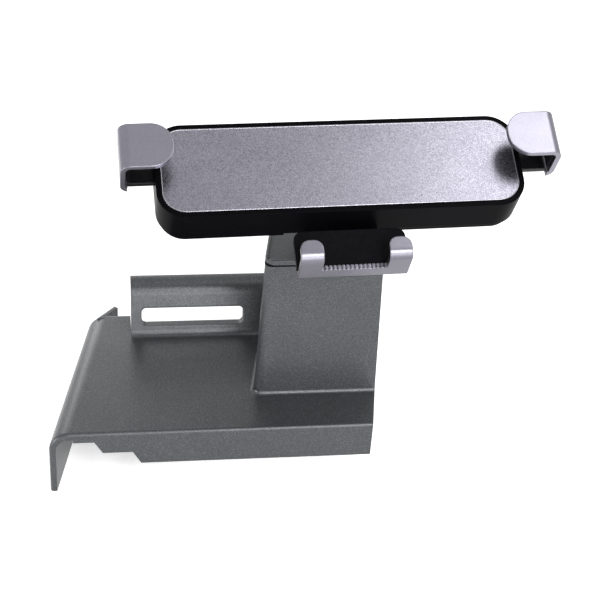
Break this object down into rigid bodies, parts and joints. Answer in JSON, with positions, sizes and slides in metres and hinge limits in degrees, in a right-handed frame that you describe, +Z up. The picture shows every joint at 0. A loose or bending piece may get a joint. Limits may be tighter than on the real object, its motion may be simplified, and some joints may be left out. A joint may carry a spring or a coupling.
{
  "type": "car phone holder",
  "caption": "Gravity phone clamp with sliding side arms and a lipped foot, on a ball joint over a hollow post with a skewed, folded console base.",
  "frame": {"origin": "middle of the plate's underside, where the base sits on the console", "axes": "+X along the plate's front edge to the post's side, +Y to the back, +Z up"},
  "size_m": [0.1954, 0.1049, 0.1526],
  "materials": {
    "base_paint": "finely textured moulding in metallic grey paint",
    "black_plastic": "satin black moulding",
    "rubber": "soft black rubber",
    "aluminium": "bead blasted and anodised",
    "steel": "plain zinc plated steel",
    "acetal": "natural acetal"
  },
  "bodies": {
    "base": {"base_shell": "base_paint", "post_cap": "base_paint"},
    "stud": {"ball_stud": "steel", "stud_washer": "steel", "stud_nut": "steel"},
    "nut": {"lock_nut": "black_plastic"},
    "clamp": {"rear_cover": "black_plastic", "front_housing": "black_plastic", "face_plate": "aluminium", "cover_screws": "steel", "pinion_pins": "steel"},
    "foot": {"foot_slider": "black_plastic", "foot_bracket": "aluminium", "foot_pad": "rubber", "foot_screws": "steel"},
    "left_arm": {"left_arm_slider": "black_plastic", "left_arm_hook": "aluminium", "left_arm_pad": "rubber", "left_arm_screws": "steel"},
    "right_arm": {"right_arm_slider": "black_plastic", "right_arm_hook": "aluminium", "right_arm_pad": "rubber", "right_arm_screws": "steel"},
    "left_pinion": {"left_pinion": "acetal"},
    "right_pinion": {"right_pinion": "acetal"}
  },
  "joints": [
    {"name": "stud_turn", "type": "hinge", "parent": "base", "child": "stud", "pos_m": [0.04086, 0.0078, 0.0803], "axis": [0, 0, 1], "continuous": true},
    {"name": "ball_tilt", "type": "hinge", "parent": "stud", "child": "nut", "pos_m": [0.04086, 0.0078, 0.0803], "axis": [1, 0, 0], "range_deg": [-65.5, 6.5]},
    {"name": "clamp_roll", "type": "hinge", "parent": "nut", "child": "clamp", "pos_m": [0.04086, 0.0078, 0.0803], "axis": [0, -0.4924, 0.8704], "continuous": true},
    {"name": "foot_slide", "type": "slide", "parent": "clamp", "child": "foot", "axis": [0.0297, -0.87, -0.4922], "range_m": [0, 0.01]},
    {"name": "left_arm_slide", "type": "slide", "parent": "clamp", "child": "left_arm", "axis": [0.9996, 0.0258, 0.0146], "range_m": [0, 0.01]},
    {"name": "right_arm_slide", "type": "slide", "parent": "clamp", "child": "right_arm", "axis": [-0.9996, -0.0258, -0.0146], "range_m": [0, 0.01]},
    {"name": "left_pinion_turn", "type": "hinge", "parent": "clamp", "child": "left_pinion", "pos_m": [0.02084, -0.0078, 0.1087], "axis": [0, -0.4924, 0.8704], "range_deg": [-96, 0]},
    {"name": "right_pinion_turn", "type": "hinge", "parent": "clamp", "child": "right_pinion", "pos_m": [0.06082, -0.00677, 0.10928], "axis": [0, -0.4924, 0.8704], "range_deg": [0, 96]}
  ],
  "couplings": [
    {"joint": "left_arm_slide", "follows": "foot_slide", "ratio": 1},
    {"joint": "right_arm_slide", "follows": "foot_slide", "ratio": 1},
    {"joint": "left_pinion_turn", "follows": "foot_slide", "rad_per_m": -166.67},
    {"joint": "right_pinion_turn", "follows": "foot_slide", "rad_per_m": 166.67}
  ]
}
